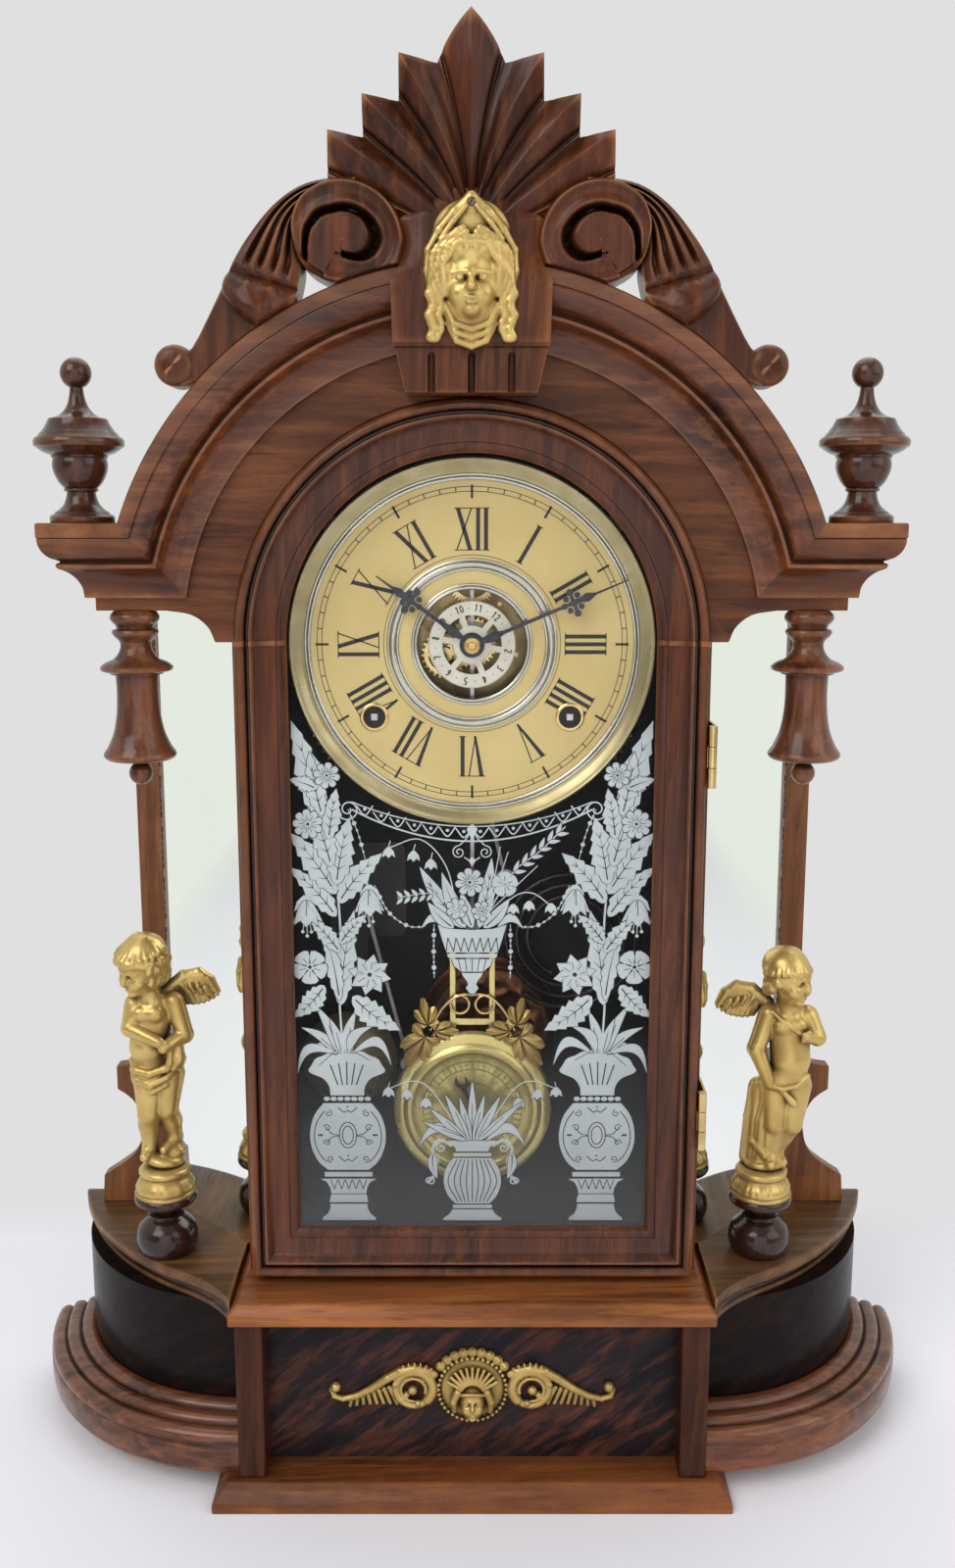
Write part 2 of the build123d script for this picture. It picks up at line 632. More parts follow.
# Crest scrolls: a volute, a leafy arm that rests on the arch, and a small end curl
REST_X = (109.5, 70.0)
ARM_END_RISE = 15.2
CURL_RISE = 8.0
SPIRAL_W = 3.2
SPIRAL_RISE = 2.5
SPIRAL_RADII = (21.0, 16.5, 12.0, 8.0)
REST_R = ARCH_R + GLUE_GAP
REST_Z = [ARCH_Z + math.sqrt(REST_R**2 - x**2) for x in REST_X]
ARM_MID = (87.2, CROWN_Z + 5.1)
ARM_END = (110.7, REST_Z[0] + ARM_END_RISE)
ARM_INNER = (64.3, CROWN_Z - 4.3)
CURL = (CURL_X, REST_Z[0] + CURL_RISE)
with BuildPart() as crest_scrolls:
    with BuildSketch(facing(CREST_BACK)):
        with BuildLine():
            ThreePointArc((VOLUTE[0] + 5, VOLUTE[1] + VOLUTE_R - 0.6), ARM_MID, ARM_END)
            Line(ARM_END, (REST_X[0], REST_Z[0]))
            RadiusArc((REST_X[0], REST_Z[0]), (REST_X[1], REST_Z[1]), -REST_R)
            Polyline((REST_X[1], REST_Z[1]), ARM_INNER, VOLUTE, (VOLUTE[0] + 5, VOLUTE[1] + VOLUTE_R - 0.6))
        make_face()
        with Locations(VOLUTE):
            Circle(VOLUTE_R)
        with Locations(CURL):
            Circle(CURL_R)
        with Locations((0, ARCH_Z)):
            Circle(REST_R, mode=Mode.SUBTRACT)
    extrude(amount=CREST_BACK - CREST_FRONT)
    with BuildSketch(facing(CREST_FRONT)):
        with BuildLine() as spiral:
            tip = (VOLUTE[0], VOLUTE[1] + SPIRAL_RADII[0])
            for index, radius in enumerate(SPIRAL_RADII):
                swing = -1 if index % 2 else 1
                end = (tip[0], tip[1] - swing * 2 * radius)
                ThreePointArc(tip, (tip[0] - swing * radius, (tip[1] + end[1]) / 2), end)
                tip = end
        trace(spiral.edges(), line_width=SPIRAL_W)
    extrude(amount=SPIRAL_RISE)
    mirror(about=Plane.YZ)
keep(crest_scrolls, "crest_scrolls")

# Crest mask: an oval head in relief on a shield-shaped back
MASK_HALF = 17.0
MASK_TALL = 27.5
MASK_BACK_T = 3.0
HEAD_R = 11.5
HEAD_TALL = 15.5
HEAD_RISE = 6.0
HEAD_Y = KEYSTONE_FRONT - MASK_BACK_T - HEAD_RISE + HEAD_R
with BuildPart() as crest_mask:
    with BuildSketch(facing(KEYSTONE_FRONT)):
        with BuildLine():
            ThreePointArc((0, MASK_Z + MASK_TALL), (MASK_HALF, MASK_Z + 4), (MASK_HALF - 2, MASK_Z - 20))
            ThreePointArc((MASK_HALF - 2, MASK_Z - 20), (7, MASK_Z - 21), (0, MASK_Z - MASK_TALL))
            Line((0, MASK_Z - MASK_TALL), (0, MASK_Z + MASK_TALL))
        make_face()
        mirror(about=Plane.YZ)
    extrude(amount=MASK_BACK_T)
    with BuildSketch(turned(0, HEAD_Y, MASK_Z)):
        Ellipse(HEAD_R, HEAD_TALL)
        Rectangle(2 * HEAD_R, 3 * HEAD_TALL, align=(Align.MAX, Align.CENTER), mode=Mode.SUBTRACT)
    revolve(axis=spin(0, HEAD_Y))
    split(bisect_by=facing(KEYSTONE_FRONT), keep=Keep.TOP)
keep(crest_mask, "crest_mask")

BALL_NECK = math.radians(26.0)


def ball_start(radius, height, end):
    """Where a turned ball leaves its neck, above (1) or below (-1) its middle."""
    return (radius * math.sin(BALL_NECK), height + end * radius * math.cos(BALL_NECK))


def ball(radius, height, end):
    """Profile of a turned ball from its neck round to its pole."""
    ThreePointArc(ball_start(radius, height, end), (radius, height), (0, height - end * radius))


# Finials: turned urns on the cornice ends
FINIAL_BALL_R = 6.2
FINIAL_BALL_Z = 58.6
PENDANT_BALL_R = 5.0
PENDANT_BALL_DROP = 68.5
FINIAL_STEPS = ((12.9, 0), (12.9, 3), (9.0, 5), (5.5, 12), (9.5, 17), (10.5, 26), (17.9, 30), (17.9, 33))
with BuildPart() as finials:
    with BuildSketch(turned(FINIAL_X, FINIAL_Y, CORNICE_TOP)):
        with BuildLine():
            Polyline((0, 0), FINIAL_STEPS[0], FINIAL_STEPS[1], FINIAL_STEPS[2])
            ThreePointArc(FINIAL_STEPS[2], (6.3, 8), FINIAL_STEPS[3])
            ThreePointArc(FINIAL_STEPS[3], (6.6, 15), FINIAL_STEPS[4])
            ThreePointArc(FINIAL_STEPS[4], (11.2, 21.5), FINIAL_STEPS[5])
            Polyline(FINIAL_STEPS[5], FINIAL_STEPS[6], FINIAL_STEPS[7])
            ThreePointArc(FINIAL_STEPS[7], (16, 37.5), (11.8, 41))
            ThreePointArc((11.8, 41), (5.2, 45.5), ball_start(FINIAL_BALL_R, FINIAL_BALL_Z, -1))
            ball(FINIAL_BALL_R, FINIAL_BALL_Z, -1)
            Line((0, FINIAL_BALL_Z + FINIAL_BALL_R), (0, 0))
        make_face()
    revolve(axis=spin(FINIAL_X, FINIAL_Y))
    mirror(about=Plane.YZ)
keep(finials, "finials")

# Pendants: turned bells that hang from the ears
with BuildPart() as pendants:
    with BuildSketch(turned(PENDANT_X, PENDANT_Y, EAR_BOTTOM)):
        with BuildLine():
            Line((0, 0), (8.2, 0))
            ThreePointArc((8.2, 0), (10.2, -3), (8.2, -6))
            Polyline((8.2, -6), (7.6, -7.5), (9.6, -9), (9.0, -10.5))
            ThreePointArc((9.0, -10.5), (5.2, -14.5), (9.4, -20))
            Polyline((9.4, -20), (15.0, -23.4), (14.2, -25.2), (8.3, -26.2))
            ThreePointArc((8.3, -26.2), (9.6, -46), (15.1, -60.5))
            neck = ball_start(PENDANT_BALL_R, -PENDANT_BALL_DROP, 1)
            Polyline((15.1, -60.5), (14.0, -62.6), (2.2, -63), neck)
            ball(PENDANT_BALL_R, -PENDANT_BALL_DROP, 1)
            Line((0, -PENDANT_BALL_DROP - PENDANT_BALL_R), (0, 0))
        make_face()
    revolve(axis=spin(PENDANT_X, PENDANT_Y))
    mirror(about=Plane.YZ)
keep(pendants, "pendants")

# Mirrors: plates set cornerwise from the case sides to the backboard, on a thin backing
with BuildPart() as mirrors:
    with BuildSketch(Plane.XY.offset(LEDGE_TOP)):
        depth = math.sqrt(2) * (MIRROR_T + MIRROR_BACKING_T)
        inner = (MIRROR_IN, BACK_FRONT - (MIRROR_OUT - MIRROR_IN))
        outer = (MIRROR_OUT, BACK_FRONT)
        Polygon(inner, outer, (MIRROR_OUT - depth, BACK_FRONT), (MIRROR_IN, inner[1] + depth), align=None)
    extrude(amount=EAR_BOTTOM - LEDGE_TOP)
    mirror(about=Plane.YZ)
keep(mirrors, "mirrors")

# Socles: turned feet under the figures
with BuildPart() as cherub_socles:
    for x, y in SOCLE_AT:
        with BuildSketch(turned(x, y, LEDGE_TOP)):
            with BuildLine():
                Line((0, 0), (9.5, 0))
                ThreePointArc((9.5, 0), (SOCLE_R, 8.5), (7.6, 17.5))
                Polyline((7.6, 17.5), (8.4, 18.6), (6.4, 20))
                RadiusArc((6.4, 20), (12.5, 24.2), 6)
                Polyline((12.5, 24.2), (14.2, 25.6), (14.2, SOCLE_H), (0, SOCLE_H), (0, 0))
            make_face()
        revolve(axis=spin(x, y))
keep(cherub_socles, "cherub_socles")


def limb(start, end, start_r, end_r):
    """A round tapered limb between two points, with a round end."""
    way = Vector(end) - Vector(start)
    with BuildSketch(Plane(origin=start, z_dir=way)) as root:
        Circle(start_r)
    with BuildSketch(Plane(origin=end, z_dir=way)) as tip:
        Circle(end_r)
    loft([root.sketch.face(), tip.sketch.face()])
    with Locations(end):
        Sphere(end_r)


FIGURE_FOOT = LEDGE_TOP + SOCLE_H
FIGURE_TALL = 125.0
FIGURE_BASE_H = 11.0
HEAD_SIZE = 11.0


def cherub(place, side):
    """A standing child with folded arm, drapery and a wing; side is 1 when the wing is on the right."""
    x, y = place
    foot = FIGURE_FOOT + FIGURE_BASE_H
    hip = foot + 42
    chest = foot + 76
    head = FIGURE_FOOT + FIGURE_TALL - HEAD_SIZE - 1.5
    with BuildSketch(turned(x, y, FIGURE_FOOT)) as base:
        with BuildLine():
            Polyline((0, 0), (13.5, 0), (13.5, 3))
            RadiusArc((13.5, 3), (10.5, FIGURE_BASE_H - 2), 12)
            Polyline((10.5, FIGURE_BASE_H - 2), (11, FIGURE_BASE_H), (0, FIGURE_BASE_H), (0, 0))
        make_face()
    revolve(base.sketch, axis=spin(x, y))
    for leg in (-1, 1):
        limb((x + leg * 4.2, y, foot - 1), (x + leg * 5.2, y, hip), 3.6, 6.4)
    sections = ((hip - 6, 11.5, 9.0), (hip + 14, 10.0, 8.2), (chest, 12.0, 8.0), (chest + 8, 5.0, 4.6))
    outlines = []
    for height, wide, deep in sections:
        with BuildSketch(Plane.XY.offset(height)) as section:
            with Locations((x, y)):
                Ellipse(wide, deep)
        outlines.append(section.sketch.face())
    loft(outlines)
    with Locations((x - side * 1.5, y - 1.5, head)):
        Sphere(HEAD_SIZE)
    limb((x, y, chest), (x - side * 1.5, y - 1, head - HEAD_SIZE + 3), 4.4, 4.2)
    for arm in (-1, 1):
        elbow = (x + arm * 15.5, y - 2, hip + 14)
        limb((x + arm * 10, y, chest + 1), elbow, 4.0, 3.4)
        limb(elbow, (x + arm * 3, y - 10.5, hip + 17), 3.4, 2.8)
    with BuildSketch(facing(y + 5)) as wing:
        with BuildLine():
            RadiusArc((x + side * 4, chest + 2), (x + side * 25, chest - 24), side * 24)
            RadiusArc((x + side * 25, chest - 24), (x + side * 4, chest - 26), side * 30)
            Line((x + side * 4, chest - 26), (x + side * 4, chest + 2))
        make_face()
    extrude(wing.sketch, amount=3)
    with BuildSketch(Plane.XY.offset(foot)) as cloth:
        with Locations((x + side * 6, y + 4)):
            Circle(6.0)
    extrude(cloth.sketch, amount=hip - foot - 4)


with BuildPart() as cherub_left:
    cherub(SOCLE_AT[0], 1)
keep(cherub_left, "cherub_left")

with BuildPart() as cherub_right:
    cherub(SOCLE_AT[1], -1)
keep(cherub_right, "cherub_right")

# Base mount: a medallion between two pierced scroll wings, in relief on the panel
MOUNT_T = 3.0
MEDALLION_R = 14.0
MEDALLION_RISE = 6.0
DOME_R = (MEDALLION_R**2 + MEDALLION_RISE**2) / (2 * MEDALLION_RISE)
with BuildPart() as base_mount:
    with BuildSketch(facing(PANEL_FRONT)):
        with Locations((0, MOUNT_Z)):
            Circle(MEDALLION_R + 4)
        with BuildLine():
            Line((0, MOUNT_Z + 8), (0, MOUNT_Z - 8))
            ThreePointArc((0, MOUNT_Z - 8), (MOUNT_HALF / 2, MOUNT_Z - 12), (MOUNT_HALF, MOUNT_Z - 3))
            Line((MOUNT_HALF, MOUNT_Z - 3), (MOUNT_HALF, MOUNT_Z + 3))
            ThreePointArc((MOUNT_HALF, MOUNT_Z + 3), (MOUNT_HALF / 2, MOUNT_Z + 14), (0, MOUNT_Z + 8))
        make_face()
        with Locations((27, MOUNT_Z + 1)):
            Circle(4.0, mode=Mode.SUBTRACT)
        mirror(about=Plane.YZ)
    extrude(amount=MOUNT_T)
    with BuildSketch(Plane(origin=(0, PANEL_FRONT, MOUNT_Z), x_dir=(1, 0, 0), z_dir=(0, 0, 1))):
        with BuildLine():
            crown = -MOUNT_T - MEDALLION_RISE
            half = math.asin(MEDALLION_R / DOME_R) / 2
            middle = (DOME_R * math.sin(half), crown + DOME_R * (1 - math.cos(half)))
            ThreePointArc((0, crown), middle, (MEDALLION_R, -MOUNT_T))
            Polyline((MEDALLION_R, -MOUNT_T), (MEDALLION_R, 0), (0, 0), (0, crown))
        make_face()
    revolve(axis=Axis((0, PANEL_FRONT, MOUNT_Z), (0, 1, 0)))
keep(base_mount, "base_mount")


def door_outline(inset):
    """Front view of the door, drawn in by inset: upright stiles under a round arch."""
    half = DOOR_HALF - inset
    low = DOOR_BOTTOM + inset
    with BuildLine() as edge:
        Polyline((half, ARCH_Z), (half, low), (-half, low), (-half, ARCH_Z))
        ThreePointArc((-half, ARCH_Z), (0, ARCH_Z + half), (half, ARCH_Z))
    return edge


# Door frame: bead, groove, cove, flat band and ovolo round the glass, with a rabbet behind
DOOR_BACK = CASE_FRONT - DOOR_GAP
GLASS_FRONT = GLASS_BACK - GLASS_T
OVOLO_AT = BEAD_W + GROOVE_W + COVE_W + BAND_W
DOOR_STEPS = (
    (0.0, BEAD_W, DOOR_FRONT),
    (BEAD_W, BEAD_W + GROOVE_W, DOOR_FRONT + 3.0),
    (BEAD_W + GROOVE_W, BEAD_W + GROOVE_W + COVE_W, DOOR_FRONT + 1.2),
    (BEAD_W + GROOVE_W + COVE_W, OVOLO_AT, DOOR_FRONT + 4.5),
    (OVOLO_AT, STILE_W, DOOR_FRONT + 2.5),
)
with BuildPart() as door_frame:
    with BuildSketch(facing(DOOR_BACK)):
        outer = door_outline(0)
        make_face(outer.edges())
        rabbet = door_outline(STILE_W - RABBET_LIP)
        make_face(rabbet.edges(), mode=Mode.SUBTRACT)
    extrude(amount=DOOR_BACK - GLASS_FRONT + GLASS_GAP)
    for start, end, front_y in DOOR_STEPS:
        with BuildSketch(facing(GLASS_FRONT - GLASS_GAP)):
            outer = door_outline(start)
            make_face(outer.edges())
            inner = door_outline(end)
            make_face(inner.edges(), mode=Mode.SUBTRACT)
        extrude(amount=GLASS_FRONT - GLASS_GAP - front_y)
    lip = door_frame.faces().filter_by(Axis.Y).sort_by(Axis.Y)[0].outer_wire().edges()
    fillet(lip, radius=1.5)
keep(door_frame, "door_frame")

with BuildPart() as door_glass:
    with BuildSketch(facing(GLASS_BACK)):
        pane = door_outline(STILE_W - RABBET_LIP + GLASS_GAP)
        make_face(pane.edges())
    extrude(amount=GLASS_T)
keep(door_glass, "door_glass")

# Hinges: the case leaf carries the pin and the outer knuckles, the door leaf the middle one
KNUCKLE = HINGE_LEN / 3
with BuildPart() as case_hinge_leaves:
    for low in HINGE_Z:
        with BuildSketch(Plane.XY.offset(low)):
            with Locations((HINGE_X, HINGE_Y)):
                Circle(HINGE_R)
            with Locations((CASE_OUT + HINGE_LEAF_T / 2, HINGE_Y)):
                depth = CASE_FRONT - HINGE_Y + HINGE_LEAF_DEPTH
                Rectangle(HINGE_LEAF_T, depth, align=(Align.CENTER, Align.MIN))
        extrude(amount=HINGE_LEN)
        with BuildSketch(Plane.XY.offset(low + KNUCKLE - END_PLAY)):
            with Locations((HINGE_X, HINGE_Y)):
                Circle(HINGE_R + END_PLAY)
        extrude(amount=KNUCKLE + 2 * END_PLAY, mode=Mode.SUBTRACT)
        with BuildSketch(Plane.XY.offset(low)):
            with Locations((HINGE_X, HINGE_Y)):
                Circle(HINGE_PIN_R)
        extrude(amount=HINGE_LEN)
keep(case_hinge_leaves, "case_hinge_leaves")

with BuildPart() as door_hinge_leaves:
    for low in HINGE_Z:
        with BuildSketch(Plane.XY.offset(low + KNUCKLE)):
            with Locations((HINGE_X, HINGE_Y)):
                Circle(HINGE_R)
            with Locations((DOOR_HALF, HINGE_Y)):
                Rectangle(HINGE_LEAF_T, HINGE_LEAF_DEPTH, align=(Align.MIN, Align.MIN))
            with Locations((HINGE_X, HINGE_Y)):
                Circle(HINGE_PIN_R + FIT, mode=Mode.SUBTRACT)
        extrude(amount=KNUCKLE)
keep(door_hinge_leaves, "door_hinge_leaves")

# Dial pan: a pressed disc with a rolled rim, a centre opening, winding holes and feet
WIND = ((WIND_X, DIAL_Z - WIND_DROP), (-WIND_X, DIAL_Z - WIND_DROP))
DIAL_BACK = DIAL_Y + PAPER_T + PAN_T
DIAL_FEET = ((-46.0, 402.0), (46.0, 402.0), (-12.0, 309.0), (12.0, 309.0))
with BuildPart() as dial_pan:
    with BuildSketch(facing(DIAL_BACK)):
        with Locations((0, DIAL_Z)):
            Circle(PAN_R)
            Circle(PAN_OPENING, mode=Mode.SUBTRACT)
        with Locations(*WIND):
            Circle(GROMMET_HOLE, mode=Mode.SUBTRACT)
    extrude(amount=PAN_T)
    for radius, width, rise in ((PAN_R, 2.4, PAN_RIM), (PAN_R - 3.6, 2.2, PAN_RIM - 1.5)):
        with BuildSketch(facing(DIAL_BACK)):
            with Locations((0, DIAL_Z)):
                Circle(radius)
                Circle(radius - width, mode=Mode.SUBTRACT)
        extrude(amount=rise)
    with BuildSketch(facing(PLATE_FRONT)):
        with Locations(*DIAL_FEET):
            Circle(1.5)
    extrude(amount=PLATE_FRONT - DIAL_BACK)
keep(dial_pan, "dial_pan")

with BuildPart() as dial_paper:
    with BuildSketch(facing(DIAL_Y + PAPER_T)):
        with Locations((0, DIAL_Z)):
            Circle(PAPER_R)
            Circle(CENTRE_RING_OUT, mode=Mode.SUBTRACT)
        with Locations(*WIND):
            Circle(GROMMET_R, mode=Mode.SUBTRACT)
    extrude(amount=PAPER_T)
keep(dial_paper, "dial_paper")

# Dial rings and winding grommets
with BuildPart() as dial_rings:
    for y, outer, inner, rise in (
        (DIAL_Y, RING_OUT, RING_IN, RING_T),
        (DIAL_Y + PAPER_T, CENTRE_RING_OUT, PAN_OPENING, RING_T + PAPER_T),
    ):
        with BuildSketch(facing(y)):
            with Locations((0, DIAL_Z)):
                Circle(outer)
                Circle(inner, mode=Mode.SUBTRACT)
        extrude(amount=rise)
    with BuildSketch(facing(DIAL_Y + PAPER_T)):
        with Locations(*WIND):
            Circle(GROMMET_R)
            Circle(GROMMET_HOLE, mode=Mode.SUBTRACT)
    extrude(amount=PAPER_T + RING_T)
keep(dial_rings, "dial_rings")

# Train layout: every arbor's place in the front view follows from the wheels and pinions in mesh
CENTRE = (0.0, DIAL_Z)
ESCAPE = (0.0, ESCAPE_Z)


def mesh_reach(teeth, leaves, module):
    """Distance between a wheel's arbor and its pinion's."""
    return (teeth + leaves) * module / 2


MAIN_REACH = mesh_reach(MAIN_TEETH, LEAVES, MAIN_MODULE)
SECOND_REACH = mesh_reach(SECOND_TEETH, LEAVES, SECOND_MODULE)
SECOND = between(WIND[0], CENTRE, MAIN_REACH, SECOND_REACH, -1)
THIRD = between(
    CENTRE,
    ESCAPE,
    mesh_reach(CENTRE_TEETH, LEAVES, CENTRE_MODULE),
    mesh_reach(THIRD_TEETH, LEAVES, THIRD_MODULE),
    -1,
)
PIN_ARBOR = (-SECOND[0], SECOND[1])
FLY_ANGLE = 112.0
FLY = (
    PIN_ARBOR[0] + SECOND_REACH * math.cos(math.radians(FLY_ANGLE)),
    PIN_ARBOR[1] + SECOND_REACH * math.sin(math.radians(FLY_ANGLE)),
)
MOTION_ANGLE = 205.0
MOTION = (
    CENTRE[0] + MOTION_REACH * math.cos(math.radians(MOTION_ANGLE)),
    CENTRE[1] + MOTION_REACH * math.sin(math.radians(MOTION_ANGLE)),
)
MINUTE_MODULE = 2 * MOTION_REACH / (MINUTE_TEETH + MOTION_LEAVES)
HOUR_MODULE = 2 * MOTION_REACH / (HOUR_TEETH + MOTION_LEAVES)
HAMMER = (0.0, HAMMER_Z)
MAIN_ARBOR_R = 2.4
SQUARE = 3.4

# Tooth and trundle shares of the circular pitch
ROOT_DEPTH = 0.30
TIP_RISE = 0.24
ROOT_SHARE = 0.52
TIP_SHARE = 0.20
TRUNDLE_SHARE = 0.17


def tooth_ring(teeth, module, phase):
    """Corners of a toothed wheel with the middle of a gap at the angle phase."""
    pitch = math.pi * module
    radius = teeth * module / 2
    step = 360.0 / teeth
    root, tip = radius - ROOT_DEPTH * pitch, radius + TIP_RISE * pitch
    corners = []
    for index in range(teeth):
        middle = phase + (index + 0.5) * step
        for rim, share in ((root, -ROOT_SHARE), (tip, -TIP_SHARE), (tip, TIP_SHARE), (root, ROOT_SHARE)):
            angle = math.radians(middle + share * step / 2)
            corners.append((rim * math.cos(angle), rim * math.sin(angle)))
    return corners


def rod(place, front_y, back_y, radius):
    """A round bar along Y at a place in the front view."""
    with BuildSketch(facing(back_y)) as section:
        with Locations(place):
            Circle(radius)
    extrude(section.sketch, amount=back_y - front_y)


def wheel(place, teeth, module, phase, front_y, bore=0.0):
    """A toothed wheel with four crossings, fast on its arbor."""
    root = teeth * module / 2 - ROOT_DEPTH * math.pi * module
    hub = bore + 2.2
    rim = root - 1.6
    with BuildSketch(facing(front_y + WHEEL_T)) as blank:
        with Locations(place):
            Polygon(*tooth_ring(teeth, module, phase), align=None)
            if rim - hub > 3:
                Circle(rim, mode=Mode.SUBTRACT)
                Circle(hub)
                for turn in (0, 90):
                    Rectangle(2 * rim + 1, 2.0, rotation=turn)
            if bore:
                Circle(bore, mode=Mode.SUBTRACT)
    extrude(blank.sketch, amount=WHEEL_T)


def lantern(place, leaves, module, phase, front_y, back_y, bore=0.0):
    """A lantern pinion: round trundles between two shrouds, with a trundle at the angle phase."""
    radius = leaves * module / 2
    trundle = TRUNDLE_SHARE * math.pi * module
    shroud_t = 0.7
    with BuildSketch(facing(back_y)) as shroud:
        with Locations(place):
            Circle(radius + trundle + 0.35)
            if bore:
                Circle(bore, mode=Mode.SUBTRACT)
    extrude(shroud.sketch, amount=shroud_t)
    extrude(shroud.sketch.moved(Location((0, front_y + shroud_t - back_y, 0))), amount=shroud_t)
    with BuildSketch(facing(back_y)) as bars:
        with Locations(place):
            with PolarLocations(radius, leaves, start_angle=phase):
                Circle(trundle)
    extrude(bars.sketch, amount=back_y - front_y)


# Depths of the wheels between the plates and in front of them
MAIN_Y = 4.8
SECOND_Y = 9.0
CENTRE_Y = 13.4
THIRD_Y = 17.6
PIN_Y = 20.2
PINION_SPARE = 1.6
SPRING_Y = 11.6
ESCAPE_Y = -3.8
MINUTE_Y = -2.8
HOUR_Y = -5.4
PLATE_INNER = PLATE_FRONT + PLATE_T
PLATE_OUTER = PLATE_BACK + PLATE_T


def main_wheel(place, mate):
    """A main wheel on its winding arbor, with its coiled spring behind it."""
    wheel(place, MAIN_TEETH, MAIN_MODULE, heading(place, mate), MAIN_Y)
    rod(place, DIAL_Y + 4, PLATE_OUTER, MAIN_ARBOR_R)
    with BuildSketch(facing(DIAL_Y + 4)) as key_square:
        with Locations(place):
            Rectangle(SQUARE, SQUARE)
    extrude(key_square.sketch, amount=3.5)
    with BuildSketch(facing(SPRING_Y + SPRING_W)) as strip:
        with BuildLine() as coil:
            tip = (place[0] + SPRING_R, place[1])
            radius = SPRING_R
            for half_turn in range(2 * SPRING_TURNS):
                swing = -1 if half_turn % 2 else 1
                radius -= SPRING_STEP / 4
                end = (tip[0] - swing * 2 * radius, tip[1])
                ThreePointArc(tip, ((tip[0] + end[0]) / 2, tip[1] + swing * radius), end)
                radius -= SPRING_STEP / 4
                tip = end
            Line(tip, (place[0] + MAIN_ARBOR_R, tip[1]))
        trace(coil.edges(), line_width=SPRING_STRIP)
    extrude(strip.sketch, amount=SPRING_W)


# Time train
with BuildPart() as time_main_wheel:
    main_wheel(WIND[0], SECOND)
keep(time_main_wheel, "time_main_wheel")

with BuildPart() as time_second_wheel:
    rod(SECOND, PLATE_FRONT, PLATE_OUTER, PIVOT_R)
    lantern(SECOND, LEAVES, MAIN_MODULE, heading(SECOND, WIND[0]), MAIN_Y - PINION_SPARE,
            MAIN_Y + WHEEL_T + PINION_SPARE)
    wheel(SECOND, SECOND_TEETH, SECOND_MODULE, heading(SECOND, CENTRE), SECOND_Y)
keep(time_second_wheel, "time_second_wheel")

MINUTE_HAND_Y = DIAL_Y - 6.4
ARBOR_TIP = MINUTE_HAND_Y - HAND_T
with BuildPart() as centre_wheel:
    rod(CENTRE, ARBOR_TIP, PLATE_OUTER, CENTRE_R)
    lantern(CENTRE, LEAVES, SECOND_MODULE, heading(CENTRE, SECOND), SECOND_Y - PINION_SPARE,
            SECOND_Y + WHEEL_T + PINION_SPARE)
    wheel(CENTRE, CENTRE_TEETH, CENTRE_MODULE, heading(CENTRE, THIRD), CENTRE_Y)
    lantern(CENTRE, MOTION_LEAVES, MINUTE_MODULE, heading(CENTRE, MOTION), MINUTE_Y - 0.9,
            MINUTE_Y + WHEEL_T + PINION_SPARE)
keep(centre_wheel, "centre_wheel")

with BuildPart() as time_third_wheel:
    rod(THIRD, PLATE_FRONT, PLATE_OUTER, PIVOT_R)
    lantern(THIRD, LEAVES, CENTRE_MODULE, heading(THIRD, CENTRE), CENTRE_Y - PINION_SPARE,
            CENTRE_Y + WHEEL_T + PINION_SPARE)
    wheel(THIRD, THIRD_TEETH, THIRD_MODULE, heading(THIRD, ESCAPE), THIRD_Y)
keep(time_third_wheel, "time_third_wheel")

# Escape wheel: pointed teeth raked forwards, in front of the front plate
with BuildPart() as escape_wheel:
    rod(ESCAPE, ESCAPE_Y - 0.8, PLATE_OUTER, PIVOT_R)
    lantern(ESCAPE, LEAVES, THIRD_MODULE, heading(ESCAPE, THIRD), THIRD_Y - PINION_SPARE,
            THIRD_Y + WHEEL_T + PINION_SPARE)
    with BuildSketch(facing(ESCAPE_Y + WHEEL_T)):
        with Locations(ESCAPE):
            step = 2 * math.pi / ESCAPE_TEETH
            points = []
            for index in range(ESCAPE_TEETH):
                root_angle, tip_angle = index * step, (index - 0.35) * step
                points.append(((ESCAPE_R - 2) * math.cos(root_angle), (ESCAPE_R - 2) * math.sin(root_angle)))
                points.append((ESCAPE_R * math.cos(tip_angle + step), ESCAPE_R * math.sin(tip_angle + step)))
            Polygon(*points, align=None)
            Circle(ESCAPE_R - 3.4, mode=Mode.SUBTRACT)
            Circle(3.0)
            for turn in (0, 90):
                Rectangle(2 * (ESCAPE_R - 3), 1.8, rotation=turn)
    extrude(amount=WHEEL_T)
keep(escape_wheel, "escape_wheel")

# Motion work: minute wheel on a stud, hour wheel on its pipe
with BuildPart() as minute_wheel:
    wheel(MOTION, MINUTE_TEETH, MINUTE_MODULE, heading(MOTION, CENTRE), MINUTE_Y, PIVOT_R + FIT)
    lantern(MOTION, MOTION_LEAVES, HOUR_MODULE, heading(MOTION, CENTRE), HOUR_Y - 0.9,
            MINUTE_Y, PIVOT_R + FIT)
    with BuildSketch(facing(MINUTE_Y)):
        with Locations(MOTION):
            Circle(PIVOT_R + 0.45)
            Circle(PIVOT_R + FIT, mode=Mode.SUBTRACT)
    extrude(amount=MINUTE_Y - HOUR_Y + 0.9)
keep(minute_wheel, "minute_wheel")

